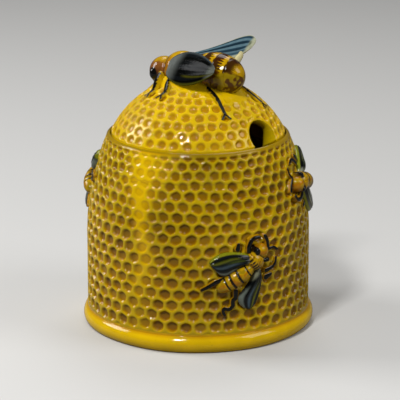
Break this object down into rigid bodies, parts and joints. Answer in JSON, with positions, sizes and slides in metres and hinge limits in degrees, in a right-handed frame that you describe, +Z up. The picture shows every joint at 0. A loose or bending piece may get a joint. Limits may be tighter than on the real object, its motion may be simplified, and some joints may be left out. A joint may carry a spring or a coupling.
{
  "type": "honey pot",
  "caption": "Beehive-shaped glazed pot with a lift-off domed lid, a bee as its knob, relief bees on a honeycomb wall and a spoon notch.",
  "frame": {"origin": "on the axis of the pot, in the plane of its foot", "axes": "+Z up along the axis of the pot; the spoon notch of the lid faces -Y and the head of the lid's bee points to +Y"},
  "size_m": [0.1082, 0.1082, 0.1342],
  "materials": {
    "honey_glaze": "gloss",
    "bee_glaze": "gloss",
    "wing_glaze": "gloss",
    "leg_glaze": "gloss",
    "relief_glaze": "gloss"
  },
  "bodies": {
    "pot": {"pot": "honey_glaze", "wall_bee_front": "relief_glaze", "wall_bee_right": "relief_glaze", "wall_bee_back": "relief_glaze", "wall_bee_left": "relief_glaze"},
    "lid": {"lid": "honey_glaze", "bee_body": "bee_glaze", "bee_wing_left": "wing_glaze", "bee_wing_right": "wing_glaze", "bee_legs": "leg_glaze"}
  },
  "joints": [
    {"name": "lid_lift", "type": "slide", "parent": "pot", "child": "lid", "axis": [0, 0, 1], "range_m": [0, 0.1]}
  ]
}
